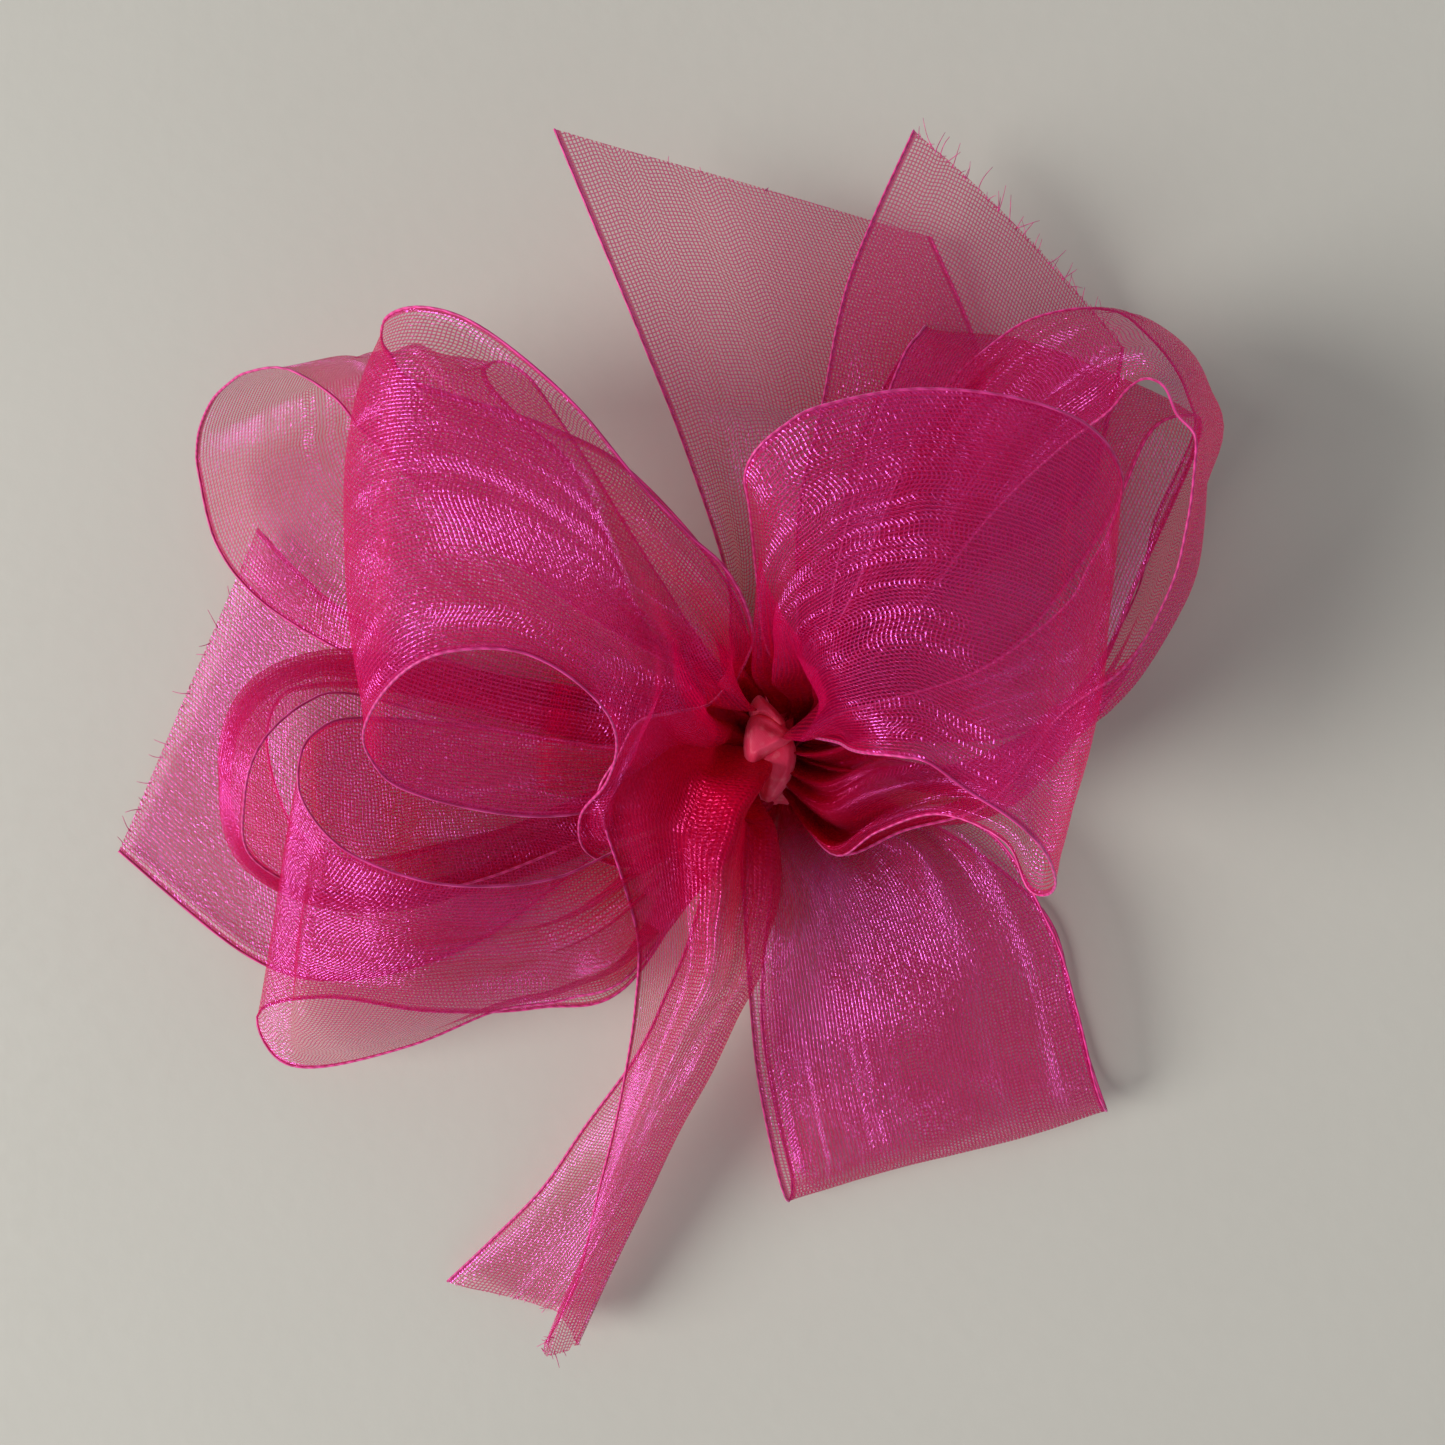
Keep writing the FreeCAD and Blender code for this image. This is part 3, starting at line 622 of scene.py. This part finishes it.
def satin_fold(name, outline, middle, low, rise, marks, looks):
    """A fold of the knot. `outline` is its edge in plan and `marks` are its hollows and ridges, in millimetres.

    A mark is x, y, length, width, angle in degrees, height."""
    edge = smooth(np.array(outline + outline[:1], float), 8)
    edge, _ = evenly(edge, [0, 1], 97)
    edge = edge[:-1]
    middle = np.array(middle)
    shares = 1 - (1 - np.linspace(0.0, 1.0, 30)[1:]) ** 1.6
    points = [np.array([[*middle, 0.0]])]
    for share in shares:
        points.append(np.column_stack([middle + (edge - middle) * share, np.full(len(edge), share)]))
    points = np.concatenate(points)
    x, y, share = points.T
    z = low + rise * np.sqrt(1 - 0.92 * share ** 3.2)
    for mark_x, mark_y, length, width, angle, tall in marks:
        turn = math.radians(angle)
        forward = (x - mark_x) * math.cos(turn) + (y - mark_y) * math.sin(turn)
        aside = (y - mark_y) * math.cos(turn) - (x - mark_x) * math.sin(turn)
        z += tall * np.exp(-(forward / length) ** 2 - (aside / width) ** 2) * (1 - share ** 6)
    top = np.column_stack([x, y, z])
    hem = np.column_stack([middle + (edge - middle) * 0.94, np.full(len(edge), low - HEM_DROP)])
    foot = np.array([[*middle, low - HEM_DROP]])
    count, rings = len(edge), len(shares)
    faces = [(0, 1 + k, 1 + (k + 1) % count) for k in range(count)]
    for i in range(rings):
        for k in range(count):
            n = (k + 1) % count
            inner = 1 + i * count
            outer = inner + count
            faces.append((inner + k, outer + k, outer + n, inner + n))
    last = 1 + (rings + 1) * count
    faces += [(last, 1 + rings * count + (k + 1) % count, 1 + rings * count + k) for k in range(count)]
    points = np.concatenate([top, hem, foot]) * MM
    uvs = points[:, :2] @ np.array([[0.87, 0.5], [-0.5, 0.87]])
    piece = mesh_object(name, points, faces, looks["satin"], uvs)
    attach(piece, "waist")
    return piece


def make_knot(looks):
    """The satin crosses over itself: a lip at the top, a fold at the left over another at the right."""
    satin_fold("knot_under", [(-1.6, 0.8), (0.4, 1.6), (2.2, 1.5), (2.9, 0.2), (2.8, -1.7), (2.0, -3.7),
                              (0.7, -5.2), (-0.2, -5.6), (-0.9, -4.8), (-1.2, -3.2), (-1.8, -1.6)],
               (0.7, -1.8), 13.2, 2.6,
               [(-0.5, -3.9, 1.3, 0.25, 78, -0.35), (1.2, -3.2, 1.6, 0.28, 62, 0.18),
                (2.0, -1.2, 1.2, 0.25, 80, 0.14)], looks)
    over = satin_fold("knot_over", [(-2.5, 2.6), (-1.8, 3.9), (-0.4, 4.0), (1.2, 3.0), (2.5, 1.6), (1.9, 0.7),
                                    (0.7, 0.0), (-0.7, -0.9), (-1.9, -1.8), (-2.6, -1.0), (-2.75, 1.0)],
                      (-0.9, 1.3), 14.6, 2.5,
                      [(0.1, 2.6, 1.5, 0.5, -28, -0.45), (0.9, 1.2, 1.0, 0.25, 35, 0.22),
                       (-1.0, 0.2, 1.6, 0.25, 28, 0.14)], looks)
    satin_fold("knot_lip", [(-2.3, 4.4), (-1.6, 5.6), (-1.0, 5.9), (-0.1, 5.2), (0.9, 4.2), (1.7, 3.0),
                            (1.5, 2.4), (0.4, 3.2), (-0.9, 3.8), (-2.0, 3.6)],
               (-0.7, 4.6), 14.4, 2.3, [(0.3, 4.3, 1.2, 0.25, -45, 0.15)], looks)
    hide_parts("satin_knot")


# Materials --------------------------------------------------------------------------------------------------

class Nodes:
    """A material's node tree, with short ways to add nodes and join them."""

    def __init__(self, name):
        self.material = bpy.data.materials.new(name)
        self.material.use_nodes = True
        self.tree = self.material.node_tree
        self.shader = self.tree.nodes["Principled BSDF"]

    def put(self, socket, value):
        if isinstance(value, bpy.types.NodeSocket):
            self.tree.links.new(value, socket)
        else:
            socket.default_value = value

    def add(self, kind, inputs=(), **settings):
        node = self.tree.nodes.new(kind)
        for key, value in settings.items():
            setattr(node, key, value)
        for socket, value in dict(inputs).items():
            self.put(node.inputs[socket], value)
        return node

    def math(self, operation, first, second=0.0):
        node = self.add("ShaderNodeMath", {0: first, 1: second}, operation=operation)
        return node.outputs[0]

    def spread(self, value, low, high, new_low, new_high):
        """The value on a new scale, kept between the two ends."""
        node = self.add("ShaderNodeMapRange", {"Value": value, "From Min": low, "From Max": high,
                                               "To Min": new_low, "To Max": new_high})
        return node.outputs["Result"]

    def mix(self, factor, first, second):
        node = self.add("ShaderNodeMix", data_type="RGBA")
        self.put(node.inputs[0], factor)
        self.put(node.inputs[6], first)
        self.put(node.inputs[7], second)
        return node.outputs[2]

    def noise(self, scale, detail=2.0, vector=None):
        inputs = {"Scale": scale, "Detail": detail}
        if vector is not None:
            inputs["Vector"] = vector
        return self.add("ShaderNodeTexNoise", inputs).outputs["Fac"]

    def position(self):
        return self.add("ShaderNodeTexCoord").outputs["Object"]

    def set(self, **values):
        for socket, value in values.items():
            self.put(self.shader.inputs[socket.replace("_", " ")], value)

    def bump(self, height, distance, strength):
        inputs = {"Height": height, "Distance": distance, "Strength": strength}
        return self.add("ShaderNodeBump", inputs).outputs["Normal"]


def threads(nodes, coordinate, pitch):
    """1 on the middle of each thread that lies across the coordinate, falling to 0 half way to the next."""
    turn = nodes.math("FRACT", nodes.math("DIVIDE", coordinate, pitch))
    off_middle = nodes.math("ABSOLUTE", nodes.math("SUBTRACT", turn, 0.5))
    return nodes.math("SUBTRACT", 1.0, nodes.math("MULTIPLY", off_middle, 2.0))


def organza(name, least_cover, most_cover, base, weft_colour):
    """Sheer plain weave of shiny threads: warp and weft of two close pinks, with a lilac shine."""
    nodes = Nodes(name)
    parts = nodes.add("ShaderNodeSeparateXYZ", {0: nodes.add("ShaderNodeUVMap", uv_map="ribbon").outputs[0]})
    across, along = parts.outputs[0], parts.outputs[1]
    drawn = nodes.add("ShaderNodeSeparateXYZ", {0: nodes.add("ShaderNodeUVMap", uv_map="gather").outputs[0]})
    gather = drawn.outputs[0]
    place = nodes.position()
    sway = nodes.noise(140.0, 1.0, place)
    warp = threads(nodes, nodes.math("ADD", across, nodes.math("MULTIPLY", sway, 0.00022)), THREAD_PITCH)
    weft = threads(nodes, nodes.math("ADD", along, nodes.math("MULTIPLY", sway, 0.00034)), THREAD_PITCH)
    cover = nodes.math("MAXIMUM", nodes.spread(warp, 0.44, 0.76, 0.0, 1.0),
                       nodes.spread(weft, 0.50, 0.82, 0.0, 1.0))
    body = nodes.noise(60.0, 3.0, place)
    full = nodes.math("ADD", most_cover, nodes.math("MULTIPLY", nodes.math("SUBTRACT", body, 0.5), 0.12))
    sparse_to_full = {"Value": cover, "To Min": least_cover, "To Max": full}
    alpha = nodes.add("ShaderNodeMapRange", sparse_to_full).outputs[0]
    alpha = nodes.math("MAXIMUM", alpha, nodes.spread(gather, 0.05, 0.8, 0.0, 0.98))
    from_edge = nodes.math("MINIMUM", across, nodes.math("SUBTRACT", RIBBON_WIDE, across))
    edge = nodes.spread(from_edge, 0.0004, 0.0007, 1.0, 0.0)
    alpha = nodes.math("MAXIMUM", alpha, nodes.math("MULTIPLY", edge, 0.90))
    colour = nodes.mix(nodes.math("GREATER_THAN", weft, warp), base, weft_colour)
    colour = nodes.mix(nodes.spread(body, 0.35, 0.65, 0.0, 0.22), colour, SHADE_RED)
    # Painted shade: near the waist the colour turns darker crimson, partly the deeper red of drawn-up threads
    # and partly shade among the gathers.
    colour = nodes.mix(nodes.spread(gather, 0.05, 0.8, 0.0, 0.85), colour, DRAWN_AND_SHADED_RED)
    glint = nodes.noise(2600.0, 0.0, place)
    height = nodes.math("ADD", nodes.math("MAXIMUM", warp, weft), nodes.math("MULTIPLY", glint, 1.2))
    # Painted shade on the shine: near the waist the reflection is weaker, standing in for room light that the
    # gathers shut out.
    shine = nodes.spread(gather, 0.05, 0.8, 0.92, 0.30)
    nodes.set(Base_Color=colour, Roughness=nodes.spread(glint, 0.3, 0.7, 0.15, 0.30),
              Normal=nodes.bump(height, 0.00011, 0.8), Specular_IOR_Level=shine)
    # Painted shade on the shine: near the waist its tint turns from lilac to red.
    tint = nodes.mix(nodes.spread(gather, 0.05, 0.8, 0.0, 1.0), (1.0, 0.20, 0.94, 1), (1.0, 0.02, 0.20, 1))
    nodes.set(IOR=2.6, Specular_Tint=tint)
    nodes.set(Sheen_Weight=0.06, Sheen_Roughness=0.30, Sheen_Tint=(0.95, 0.35, 1.0, 1))
    glow = nodes.add("ShaderNodeBsdfTranslucent", {"Color": colour}).outputs[0]
    cloth = nodes.add("ShaderNodeMixShader", {0: THROUGH, 1: nodes.shader.outputs[0], 2: glow}).outputs[0]
    gap = nodes.add("ShaderNodeBsdfTransparent").outputs[0]
    sheer = nodes.add("ShaderNodeMixShader", {0: alpha, 1: gap, 2: cloth}).outputs[0]
    nodes.put(nodes.tree.nodes["Material Output"].inputs["Surface"], sheer)
    return nodes.material


def selvedge():
    """The ribbon's corded edge, closely bound."""
    nodes = Nodes("selvedge")
    place = nodes.position()
    binding = nodes.add("ShaderNodeTexWave", {"Vector": place, "Scale": 380.0, "Distortion": 1.5,
                                              "Detail": 1.0}, bands_direction="DIAGONAL").outputs["Fac"]
    worn = nodes.noise(900.0, 2.0, place)
    colour = nodes.mix(nodes.spread(binding, 0.2, 0.8, 0.0, 1.0),
                       (0.50, 0.010, 0.14, 1), (0.72, 0.030, 0.25, 1))
    nodes.set(Base_Color=colour, Roughness=nodes.spread(worn, 0.3, 0.7, 0.35, 0.55),
              Normal=nodes.bump(nodes.math("ADD", binding, worn), 0.00006, 0.7))
    nodes.set(Specular_IOR_Level=0.7, Specular_Tint=(1.0, 0.6, 1.0, 1), Sheen_Weight=0.4,
              Sheen_Tint=(1.0, 0.5, 0.95, 1))
    return nodes.material


def satin():
    """Coral satin: long smooth threads that shine across the ribbon."""
    nodes = Nodes("satin")
    parts = nodes.add("ShaderNodeSeparateXYZ", {0: nodes.add("ShaderNodeUVMap", uv_map="ribbon").outputs[0]})
    fine = threads(nodes, parts.outputs[0], 0.00016)
    mottle = nodes.noise(1100.0, 4.0, nodes.position())
    slub = nodes.noise(420.0, 3.0, nodes.position())
    colour = nodes.mix(nodes.spread(slub, 0.35, 0.65, 0.0, 1.0),
                       (0.88, 0.034, 0.12, 1), (0.98, 0.085, 0.20, 1))
    colour = nodes.mix(nodes.spread(mottle, 0.55, 0.72, 0.0, 0.55), colour, (1.0, 0.26, 0.34, 1))
    height = nodes.math("ADD", nodes.math("MULTIPLY", fine, 0.6), nodes.math("MULTIPLY", mottle, 1.2))
    nodes.set(Base_Color=colour, Roughness=nodes.spread(mottle, 0.3, 0.7, 0.34, 0.52),
              Normal=nodes.bump(height, 0.00005, 0.7))
    nodes.set(Specular_IOR_Level=0.7, Specular_Tint=(1.0, 0.5, 0.6, 1), Anisotropic=0.4)
    nodes.set(Sheen_Weight=0.30, Sheen_Roughness=0.4, Sheen_Tint=(1.0, 0.6, 0.7, 1))
    return nodes.material


def thread():
    """Twisted binding thread."""
    nodes = Nodes("thread")
    place = nodes.position()
    twist = nodes.add("ShaderNodeTexWave", {"Vector": place, "Scale": 700.0, "Distortion": 0.6},
                      bands_direction="DIAGONAL").outputs["Fac"]
    fuzz = nodes.noise(2500.0, 2.0, place)
    colour = nodes.mix(twist, (0.30, 0.01, 0.06, 1), (0.55, 0.03, 0.14, 1))
    nodes.set(Base_Color=colour, Roughness=nodes.spread(fuzz, 0.3, 0.7, 0.5, 0.7),
              Normal=nodes.bump(nodes.math("ADD", twist, fuzz), 0.00005, 0.8))
    nodes.set(Sheen_Weight=0.3)
    return nodes.material


def floor_paint():
    """Plain pale matt paint."""
    nodes = Nodes("floor_paint")
    cloud = nodes.noise(9.0, 3.0, nodes.position())
    grain = nodes.noise(420.0, 3.0, nodes.position())
    colour = nodes.mix(nodes.spread(cloud, 0.3, 0.7, 0.0, 1.0),
                       (0.555, 0.540, 0.490, 1), (0.585, 0.570, 0.520, 1))
    nodes.set(Base_Color=colour, Roughness=nodes.spread(grain, 0.3, 0.7, 0.55, 0.7),
              Normal=nodes.bump(grain, 0.00008, 0.35))
    return nodes.material


# Scene ------------------------------------------------------------------------------------------------------

def make_floor(material):
    half = 2.0
    points = [(-half, -half, 0.0), (half, -half, 0.0), (half, half, 0.0), (-half, half, 0.0)]
    floor = mesh_object("floor", [Vector(p) + Vector((0, 0, cad_box[0].z - 0.0001)) for p in points],
                        [(0, 1, 2, 3)], material)


def make_light(place, aim, size, power, colour):
    lamp = bpy.data.lights.new("window", "AREA")
    lamp.shape = "DISK"
    lamp.size = size
    lamp.energy = power
    lamp.color = colour
    holder = bpy.data.objects.new("window", lamp)
    holder.location = place
    holder.rotation_mode = "QUATERNION"
    holder.rotation_quaternion = (Vector(aim) - Vector(place)).to_track_quat("-Z", "Y")
    bpy.context.scene.collection.objects.link(holder)


def make_world(overhead, walls, strength):
    """A room with pale walls. Straight overhead it is darker."""
    world = bpy.data.worlds.new("room")
    world.use_nodes = True
    tree = world.node_tree
    place = tree.nodes.new("ShaderNodeTexCoord")
    split = tree.nodes.new("ShaderNodeSeparateXYZ")
    ramp = tree.nodes.new("ShaderNodeValToRGB")
    ramp.color_ramp.elements[0].position = 0.62
    ramp.color_ramp.elements[0].color = walls
    ramp.color_ramp.elements[1].position = 0.93
    ramp.color_ramp.elements[1].color = overhead
    tree.links.new(place.outputs["Generated"], split.inputs[0])
    tree.links.new(split.outputs["Z"], ramp.inputs[0])
    background = tree.nodes["Background"]
    tree.links.new(ramp.outputs["Color"], background.inputs["Color"])
    background.inputs["Strength"].default_value = strength
    bpy.context.scene.world = world


def make_camera():
    """Straight above the bow, as near as a phone is held."""
    camera = bpy.data.cameras.new("camera")
    camera.sensor_width = 36.0
    camera.lens = 36.1
    camera.clip_start = 0.01
    holder = bpy.data.objects.new("camera", camera)
    holder.location = (-0.005, 0.003, 0.170)
    bpy.context.scene.collection.objects.link(holder)
    bpy.context.scene.camera = holder


looks = {
    "organza": organza("organza", 0.13, 0.80, (0.86, 0.002, 0.080, 1), (0.74, 0.003, 0.145, 1)),
    # The waist's organza: nearly opaque, its darker crimson partly the deep red of densely gathered threads and
    # partly painted shade between the gathers.
    "organza_gathered": organza("organza_gathered", 0.75, 1.0,
                                (0.60, 0.001, 0.03, 1), (0.50, 0.001, 0.04, 1)),
    "selvedge": selvedge(),
    "satin": satin(),
    "thread": thread(),
}

make_camera()
make_world((0.13, 0.13, 0.14, 1), (0.95, 0.97, 1.0, 1), 0.50)
make_light((-1.80, -0.40, 1.10), (0.0, 0.0, 0.02), 1.15, 53.0, (1.0, 0.985, 0.95))
make_floor(floor_paint())

for number, (name, rows) in enumerate(RIBBONS.items()):
    make_ribbon(name, rows, number + 1, looks)
make_waist(looks)
make_band(looks)
make_knot(looks)
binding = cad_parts["binding_thread"]
binding.data.materials.clear()
binding.data.materials.append(looks["thread"])

bpy.context.scene.view_settings.view_transform = "Standard"
bpy.context.scene.cycles.transparent_max_bounces = 32
